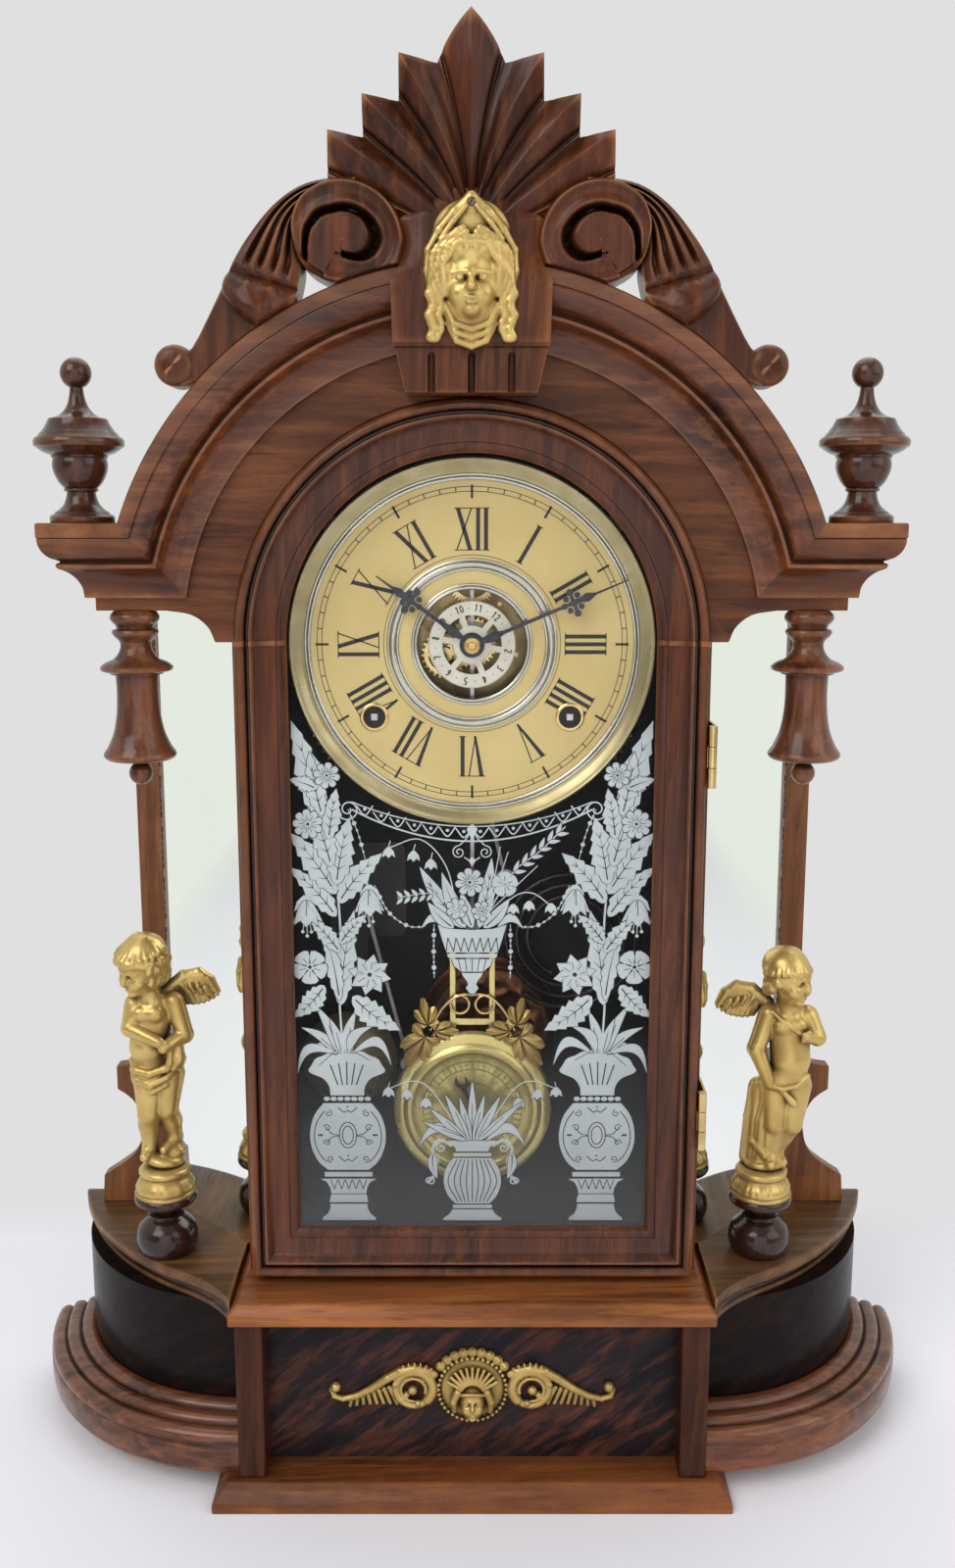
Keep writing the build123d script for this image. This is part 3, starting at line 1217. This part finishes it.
PIPE_TIP = DIAL_Y - 4.6
with BuildPart() as hour_wheel:
    wheel(CENTRE, HOUR_TEETH, HOUR_MODULE, heading(CENTRE, MOTION), HOUR_Y, CENTRE_R + FIT)
    with BuildSketch(facing(HOUR_Y + WHEEL_T)):
        with Locations(CENTRE):
            Circle(PIPE_R)
            Circle(CENTRE_R + FIT, mode=Mode.SUBTRACT)
    extrude(amount=HOUR_Y + WHEEL_T - PIPE_TIP)
keep(hour_wheel, "hour_wheel")


def hand(length, cross, eye, bore, angle, back_y):
    """A stamped hand: an eye, a slim shaft, a cross and a spade-shaped end."""
    turn = math.radians(90 - angle)
    way = Plane(origin=(0, back_y, DIAL_Z), x_dir=(math.cos(turn), 0, math.sin(turn)), z_dir=(0, -1, 0))
    with BuildSketch(way) as shape:
        Circle(eye)
        Polygon((0, -1.7), (cross, -0.8), (cross, 0.8), (0, 1.7), align=None)
        Polygon((eye, 0), (eye + 4, -2.6), (eye + 9, 0), (eye + 4, 2.6), align=None)
        Polygon((cross - 3, 0), (cross, -4.5), (cross + 3, 0), (cross, 4.5), align=None)
        Polygon((cross, -1.2), (cross + 8, -2.4), (length, 0), (cross + 8, 2.4), (cross, 1.2), align=None)
        Circle(bore, mode=Mode.SUBTRACT)
    extrude(shape.sketch, amount=HAND_T)


HOUR_HAND_Y = DIAL_Y - 3.4
with BuildPart() as hour_hand:
    hand(HOUR_LEN, 0.66 * HOUR_LEN, 5.2, PIPE_R, HOUR_ANGLE, HOUR_HAND_Y)
keep(hour_hand, "hour_hand")

with BuildPart() as minute_hand:
    hand(MINUTE_LEN, 0.64 * MINUTE_LEN, 4.6, CENTRE_R, MINUTE_ANGLE, MINUTE_HAND_Y)
    rod(CENTRE, ARBOR_TIP - 1.2, ARBOR_TIP, 3.6)
keep(minute_hand, "minute_hand")

# Alarm disc: a ring and six spokes on a hub that turns on the hour pipe
ALARM_Y = DIAL_Y - 1.4
with BuildPart() as alarm_disc:
    with BuildSketch(facing(ALARM_Y)):
        with Locations(CENTRE):
            Circle(ALARM_DISC_R)
            Circle(0.68 * ALARM_DISC_R, mode=Mode.SUBTRACT)
            Circle(0.45 * ALARM_DISC_R)
            for turn in (0, 60, 120):
                Rectangle(1.5 * ALARM_DISC_R, 2.6, rotation=turn)
            Circle(PIPE_R + FIT, mode=Mode.SUBTRACT)
    extrude(amount=0.8)
    with BuildSketch(facing(ALARM_Y)):
        with Locations(CENTRE):
            Circle(5.0)
            Circle(PIPE_R + FIT, mode=Mode.SUBTRACT)
    extrude(amount=1.5)
keep(alarm_disc, "alarm_disc")

# Strike train
with BuildPart() as strike_main_wheel:
    main_wheel(WIND[1], PIN_ARBOR)
keep(strike_main_wheel, "strike_main_wheel")

PIN_COUNT = 8
with BuildPart() as strike_pin_wheel:
    rod(PIN_ARBOR, PLATE_FRONT, PLATE_OUTER, PIVOT_R)
    lantern(PIN_ARBOR, LEAVES, MAIN_MODULE, heading(PIN_ARBOR, WIND[1]), MAIN_Y - PINION_SPARE,
            MAIN_Y + WHEEL_T + PINION_SPARE)
    wheel(PIN_ARBOR, SECOND_TEETH, SECOND_MODULE, heading(PIN_ARBOR, FLY), PIN_Y)
    with BuildSketch(facing(PIN_Y + WHEEL_T)):
        with Locations(PIN_ARBOR):
            with PolarLocations(0.87 * SECOND_TEETH * SECOND_MODULE / 2, PIN_COUNT):
                Circle(0.6)
    extrude(amount=-3)
keep(strike_pin_wheel, "strike_pin_wheel")

FLY_R = 10.0
with BuildPart() as strike_fly:
    rod(FLY, PLATE_FRONT, PLATE_OUTER, PIVOT_R)
    lantern(FLY, LEAVES, SECOND_MODULE, heading(FLY, PIN_ARBOR), PIN_Y - PINION_SPARE,
            PIN_Y + WHEEL_T + PINION_SPARE)
    with BuildSketch(facing(16.0)):
        with Locations(FLY):
            Rectangle(2 * FLY_R, 0.8)
            Circle(2.0)
    extrude(amount=11)
keep(strike_fly, "strike_fly")


def plate_outline():
    """Front view of a movement plate, wide at the winding arbors and narrow at its foot."""
    shoulder = WIND[0][1] - 22
    return [
        (-PLATE_HALF + 4, PLATE_TOP),
        (PLATE_HALF - 4, PLATE_TOP),
        (PLATE_HALF, PLATE_TOP - 30),
        (PLATE_HALF, shoulder),
        (PLATE_HALF / 2 + 3, PLATE_LOW),
        (-PLATE_HALF / 2 - 3, PLATE_LOW),
        (-PLATE_HALF, shoulder),
        (-PLATE_HALF, PLATE_TOP - 30),
    ]


PILLAR_AT = [(side * x, z) for x, z in PILLARS for side in (-1, 1)]
PIVOTS = (SECOND, THIRD, ESCAPE, PIN_ARBOR, FLY, HAMMER)


def plate(back_y):
    """A movement plate with its pivot holes and two large windows."""
    with BuildSketch(facing(back_y)) as sheet:
        Polygon(*plate_outline(), align=None)
        with Locations(*PIVOTS):
            Circle(PIVOT_R + FIT, mode=Mode.SUBTRACT)
        with Locations(*WIND):
            Circle(MAIN_ARBOR_R + FIT, mode=Mode.SUBTRACT)
        with Locations(CENTRE):
            Circle(CENTRE_R + FIT, mode=Mode.SUBTRACT)
        with Locations((-36, 410), (36, 410)):
            RectangleRounded(16, 26, 4, mode=Mode.SUBTRACT)
    extrude(sheet.sketch, amount=PLATE_T)


# Front plate, with the minute-wheel stud, the verge stud and the suspension post riveted in it
POST_R = 3.2
with BuildPart() as front_plate:
    plate(PLATE_FRONT + PLATE_T)
    rod(MOTION, HOUR_Y - 1.6, PLATE_FRONT, PIVOT_R)
    rod((0, VERGE_Z), ESCAPE_Y - 2.6, PLATE_FRONT, PIVOT_R)
    rod((0, SUSPENSION_Z + POST_R), PENDULUM_Y - 2.5, PLATE_FRONT, POST_R)
keep(front_plate, "front_plate")

with BuildPart() as back_plate:
    plate(PLATE_BACK + PLATE_T)
keep(back_plate, "back_plate")

with BuildPart() as movement_pillars:
    for place in PILLAR_AT:
        rod(place, PLATE_INNER, PLATE_BACK, PILLAR_R)
keep(movement_pillars, "movement_pillars")

# Mounting feet: bent straps from the back plate to the backboard
FOOT_W = 9.0
FOOT_T = 1.6
with BuildPart() as movement_feet:
    for x, z in PILLAR_AT:
        side = math.copysign(1, x)
        with BuildSketch(Plane.XY.offset(z - FOOT_W / 2)):
            with BuildLine():
                Polyline(
                    (x - side * 4, PLATE_OUTER),
                    (x + side * 10, PLATE_OUTER),
                    (x + side * 10, BACK_FRONT - FOOT_T),
                    (x + side * 22, BACK_FRONT - FOOT_T),
                    (x + side * 22, BACK_FRONT),
                    (x + side * (10 - FOOT_T), BACK_FRONT),
                    (x + side * (10 - FOOT_T), PLATE_OUTER + FOOT_T),
                    (x - side * 4, PLATE_OUTER + FOOT_T),
                    close=True,
                )
            make_face()
        extrude(amount=FOOT_W)
keep(movement_feet, "movement_feet")

# Verge: a bent strip over the escape wheel, and a crutch that reaches the pendulum rod
PALLET_IN = ESCAPE_R + PALLET_GAP
PALLET_OUT = PALLET_IN + 1.4
PALLET_SPAN = 52.0
CRUTCH_GAP = 0.5
with BuildPart() as verge:
    with BuildSketch(facing(ESCAPE_Y + WHEEL_T)):
        with BuildLine():
            ends = [math.radians(90 + PALLET_SPAN), math.radians(90 - PALLET_SPAN)]
            for radius in (PALLET_IN, PALLET_OUT):
                ThreePointArc(
                    (radius * math.cos(ends[0]), ESCAPE_Z + radius * math.sin(ends[0])),
                    (0, ESCAPE_Z + radius),
                    (radius * math.cos(ends[1]), ESCAPE_Z + radius * math.sin(ends[1])),
                )
            for end in ends:
                Line(
                    (PALLET_IN * math.cos(end), ESCAPE_Z + PALLET_IN * math.sin(end)),
                    (PALLET_OUT * math.cos(end), ESCAPE_Z + PALLET_OUT * math.sin(end)),
                )
        make_face()
        with Locations((0, VERGE_Z)):
            Circle(2.4)
            Circle(PIVOT_R + FIT, mode=Mode.SUBTRACT)
    extrude(amount=2.0)
    with BuildSketch(facing(ESCAPE_Y - 0.8)):
        with Locations((0, (VERGE_Z + CRUTCH_Z) / 2)):
            Rectangle(1.4, VERGE_Z - CRUTCH_Z)
        with Locations((0, CRUTCH_Z)):
            Rectangle(2 * (ROD_W / 2 + CRUTCH_GAP) + 2.4, 2.0)
        with Locations((0, VERGE_Z)):
            Circle(2.4)
            Circle(PIVOT_R + FIT, mode=Mode.SUBTRACT)
    extrude(amount=1.2)
    with BuildSketch(facing(ESCAPE_Y - 2.0)):
        for side in (-1, 1):
            with Locations((side * (ROD_W / 2 + CRUTCH_GAP + 0.6), CRUTCH_Z)):
                Rectangle(1.2, 2.0)
    extrude(amount=ESCAPE_Y - 2.0 - PENDULUM_Y + 1.2)
keep(verge, "verge")

# Pendulum rod: a spring strip, a wire with an eye round the hour pipe, and a hook
ROD_T = 1.2
HOOK_Z = BOB_Z + 78.0
with BuildPart() as pendulum_rod:
    with BuildSketch(facing(PENDULUM_Y + ROD_T / 2)):
        with Locations((0, SUSPENSION_Z - 0.3)):
            Rectangle(4.0, 10.0, align=(Align.CENTER, Align.MAX))
            Rectangle(ROD_W, SUSPENSION_Z - HOOK_Z, align=(Align.CENTER, Align.MAX))
        with Locations(CENTRE):
            Circle(EYE_R + ROD_W)
            Circle(EYE_R, mode=Mode.SUBTRACT)
        with Locations((0, HOOK_Z)):
            Rectangle(6.0, 22.0)
    extrude(amount=ROD_T)
keep(pendulum_rod, "pendulum_rod")

# Pendulum bob: a dished disc with a raised ring, hung from two bars, with a bent wire ornament
BAR_X = 8.8
BAR_W = 3.0
BAR_T = 1.2
BOB_EDGE = 3.0
BOB_RIDGE = 1.2
BOB_DISH = 1.5
RIDGE_OUT = 30.5
RIDGE_IN = 28.0
DISH_R = 26.0
BOB_FRONT = PENDULUM_Y - BOB_T / 2
LOOP_R = 4.8
LEAF_AT = (20.0, 199.0)
with BuildPart() as pendulum_bob:
    with BuildSketch(Plane(origin=(0, PENDULUM_Y, BOB_Z), x_dir=(1, 0, 0), z_dir=(0, 0, 1))):
        with BuildLine():
            rim = BOB_R - BOB_EDGE
            ridge = -BOB_T / 2 - BOB_RIDGE
            Polyline((0, -BOB_DISH), (0, BOB_T / 2), (rim, BOB_T / 2))
            ThreePointArc((rim, BOB_T / 2), (BOB_R, 0), (rim, -BOB_T / 2))
            Polyline((rim, -BOB_T / 2), (RIDGE_OUT, ridge), (RIDGE_IN, ridge))
            Polyline((RIDGE_IN, ridge), (DISH_R, -BOB_DISH), (0, -BOB_DISH))
        make_face()
    revolve(axis=Axis((0, PENDULUM_Y, BOB_Z), (0, 1, 0)))
    with BuildSketch(facing(PENDULUM_Y + ROD_T / 2 + BAR_T)):
        for side in (-1, 1):
            with Locations((side * BAR_X, BOB_Z + BOB_R - 6)):
                Rectangle(BAR_W, HOOK_Z - BOB_Z - BOB_R + 10, align=(Align.CENTER, Align.MIN))
        with Locations((0, HOOK_Z + 4)):
            Rectangle(2 * BAR_X + BAR_W, 4, align=(Align.CENTER, Align.MAX))
        with Locations((0, BOB_Z + BOB_R + 4)):
            Rectangle(2 * BAR_X + BAR_W, 3)
    extrude(amount=BAR_T)
    with BuildSketch(facing(PENDULUM_Y + 1.0)):
        with Locations((-5.6, 217), (5.6, 217)):
            Circle(LOOP_R)
            Circle(LOOP_R - 1.2, mode=Mode.SUBTRACT)
    extrude(amount=1.6)
    with BuildSketch(facing(BOB_FRONT)):
        for side in (-1, 1):
            with BuildLine():
                ThreePointArc((side * 9, 219), (side * 17, 213), (side * 20, 197))
                ThreePointArc((side * 20, 197), (side * 16, 212), (side * 8, 217.5))
                Line((side * 8, 217.5), (side * 9, 219))
            make_face()
            with Locations((side * LEAF_AT[0], LEAF_AT[1])):
                for turn in (-62, 8, 75):
                    Ellipse(11.0, 4.2, rotation=side * turn)
    extrude(amount=-3.6)
keep(pendulum_bob, "pendulum_bob")

# Gong: a flat wire coil whose outer end is held in a block on a round base
GONG_END = math.radians(238.0)
COIL = []
for quarter in range(2 * GONG_HALF_TURNS + 1):
    turn = GONG_END + quarter * math.pi / 2
    radius = GONG_R - GONG_STEP * quarter / 4
    COIL.append((GONG_X + radius * math.cos(turn), GONG_Z + radius * math.sin(turn)))
GONG_TANGENT = (-math.sin(GONG_END), math.cos(GONG_END))
GONG_TAIL = (COIL[0][0] - GONG_WIRE * GONG_TANGENT[0], COIL[0][1] - GONG_WIRE * GONG_TANGENT[1])
with BuildPart() as gong_coil:
    with BuildLine() as spiral:
        tail = Line((GONG_TAIL[0], GONG_Y, GONG_TAIL[1]), (COIL[0][0], GONG_Y, COIL[0][1]))
        way = tail % 1
        for start, end in zip(COIL, COIL[1:]):
            bend = TangentArc((start[0], GONG_Y, start[1]), (end[0], GONG_Y, end[1]), tangent=way)
            way = bend % 1
        last = COIL[-1]
        Line((last[0], GONG_Y, last[1]), (last[0] + GONG_WIRE * way.X, GONG_Y, last[1] + GONG_WIRE * way.Z))
    along = (GONG_TANGENT[0], 0, GONG_TANGENT[1])
    with BuildSketch(Plane(origin=(GONG_TAIL[0], GONG_Y, GONG_TAIL[1]), z_dir=along)):
        Circle(GONG_WIRE / 2)
    sweep(path=spiral.line)
keep(gong_coil, "gong_coil")

# Least gap of the coil to itself, on points along the wire
samples = [spiral.line @ (step / 600) for step in range(601)]
gap = min(
    (samples[a] - samples[b]).length - GONG_WIRE
    for a in range(601)
    for b in range(a + 60, 601)
)
print(f"gong coil least gap {gap:.2f} mm")

BLOCK_LEN = 9.0
BLOCK_W = 6.4
BASE_SHOULDER = 8.0
BASE_CROWN = 1.5
BASE_CROWN_R = 10.0
with BuildPart() as gong_base:
    middle = (GONG_BASE[0], BACK_FRONT, GONG_BASE[1])
    with BuildSketch(Plane(origin=middle, x_dir=(1, 0, 0), z_dir=(0, 0, 1))):
        with BuildLine():
            shoulder = GONG_BASE_R - BASE_SHOULDER
            Polyline((0, 0), (GONG_BASE_R, 0), (GONG_BASE_R, -GONG_BASE_T / 2))
            ThreePointArc(
                (GONG_BASE_R, -GONG_BASE_T / 2),
                (GONG_BASE_R - 0.3 * BASE_SHOULDER, -0.86 * GONG_BASE_T),
                (shoulder, -GONG_BASE_T),
            )
            crown = -GONG_BASE_T - BASE_CROWN
            Polyline((shoulder, -GONG_BASE_T), (BASE_CROWN_R, crown), (0, crown), (0, 0))
        make_face()
    revolve(axis=Axis(middle, (0, 1, 0)))
    with BuildSketch(facing(BACK_FRONT)):
        block_x = GONG_TAIL[0] - BLOCK_LEN / 2 * GONG_TANGENT[0]
        block_z = GONG_TAIL[1] - BLOCK_LEN / 2 * GONG_TANGENT[1]
        with Locations((block_x, block_z)):
            Rectangle(BLOCK_LEN, BLOCK_W, rotation=heading((0, 0), GONG_TANGENT))
    extrude(amount=BACK_FRONT - GONG_Y + GONG_WIRE)
keep(gong_base, "gong_base")

# Alarm bell, and the bracket that carries it and the alarm hammer
BELL_BACK = 37.0
BELL_POST_R = 2.0
with BuildPart() as alarm_bell:
    with BuildSketch(Plane(origin=(BELL[0], BELL_BACK, BELL[1]), x_dir=(1, 0, 0), z_dir=(0, 0, 1))):
        with BuildLine():
            ThreePointArc((BELL_R, 0), (0.72 * BELL_R, -0.72 * BELL_DEPTH), (BELL_POST_R, -BELL_DEPTH))
            Line((BELL_POST_R, -BELL_DEPTH), (BELL_POST_R, -BELL_DEPTH + BELL_T))
            ThreePointArc(
                (BELL_POST_R, -BELL_DEPTH + BELL_T),
                (0.72 * (BELL_R - BELL_T), -0.72 * (BELL_DEPTH - BELL_T)),
                (BELL_R - BELL_T, 0),
            )
            Line((BELL_R - BELL_T, 0), (BELL_R, 0))
        make_face()
    revolve(axis=Axis((BELL[0], BELL_BACK, BELL[1]), (0, 1, 0)))
keep(alarm_bell, "alarm_bell")

STRAP_T = 1.6
STRAP_W = 10.0
ALARM_FRAME = (36.0, 46.0)
with BuildPart() as alarm_bracket:
    with BuildSketch(facing(BACK_FRONT)):
        with Locations((ALARM_STUD[0], ALARM_STUD[1] + 6)):
            RectangleRounded(ALARM_FRAME[0], ALARM_FRAME[1], 4)
        with BuildLine():
            Polyline(
                (ALARM_STUD[0] - STRAP_W, ALARM_STUD[1] - 10),
                (BELL[0] - STRAP_W / 2, BELL[1] - 8),
                (BELL[0] + STRAP_W / 2, BELL[1] - 8),
                (ALARM_STUD[0], ALARM_STUD[1] - 10),
                close=True,
            )
        make_face()
    extrude(amount=STRAP_T)
    rod(BELL, BELL_BACK - BELL_DEPTH - 1.5, BACK_FRONT, BELL_POST_R)
    rod(BELL, BELL_BACK - BELL_DEPTH + BELL_T, BACK_FRONT, 3.2)
    rod(BELL, BELL_BACK - BELL_DEPTH - 2.6, BELL_BACK - BELL_DEPTH - 0.2, 3.4)
    rod(ALARM_STUD, 28.0, BACK_FRONT, 1.6)
keep(alarm_bracket, "alarm_bracket")


def striker(pivot, head, front_y, bore, head_r, hub_r):
    """A hammer: a hub, a flat arm and a round head with its axis along Y."""
    arm = math.degrees(math.atan2(head[1] - pivot[1], head[0] - pivot[0]))
    with BuildSketch(facing(front_y + 2.0)) as shape:
        with Locations(((pivot[0] + head[0]) / 2, (pivot[1] + head[1]) / 2)):
            Rectangle(reach(pivot, head), 1.6, rotation=arm)
        with Locations(pivot):
            Circle(hub_r)
            if bore:
                Circle(bore, mode=Mode.SUBTRACT)
    extrude(shape.sketch, amount=2.0)
    rod(head, front_y - 3.0, front_y + 5.0, head_r)


# Strike hammer on its arbor behind the back plate, and the alarm hammer on its stud
STRIKE_HEAD_R = 4.6
STRIKE_GAP = 2.4
HEAD_REACH = GONG_R + GONG_WIRE / 2 + STRIKE_GAP + STRIKE_HEAD_R
STRIKE_HEAD = (GONG_X - HEAD_REACH * math.sqrt(0.5), GONG_Z + HEAD_REACH * math.sqrt(0.5))
with BuildPart() as strike_hammer:
    rod(HAMMER, PLATE_FRONT, GONG_Y + 1.0, PIVOT_R)
    striker(HAMMER, STRIKE_HEAD, GONG_Y - 1.0, 0.0, STRIKE_HEAD_R, 3.0)
keep(strike_hammer, "strike_hammer")

ALARM_HEAD_R = 3.6
ALARM_GAP = 2.0
ALARM_HEAD = (BELL[0] + BELL_R + ALARM_GAP + ALARM_HEAD_R, BELL[1])
with BuildPart() as alarm_hammer:
    striker(ALARM_STUD, ALARM_HEAD, 31.0, 1.6 + FIT, ALARM_HEAD_R, 4.0)
keep(alarm_hammer, "alarm_hammer")
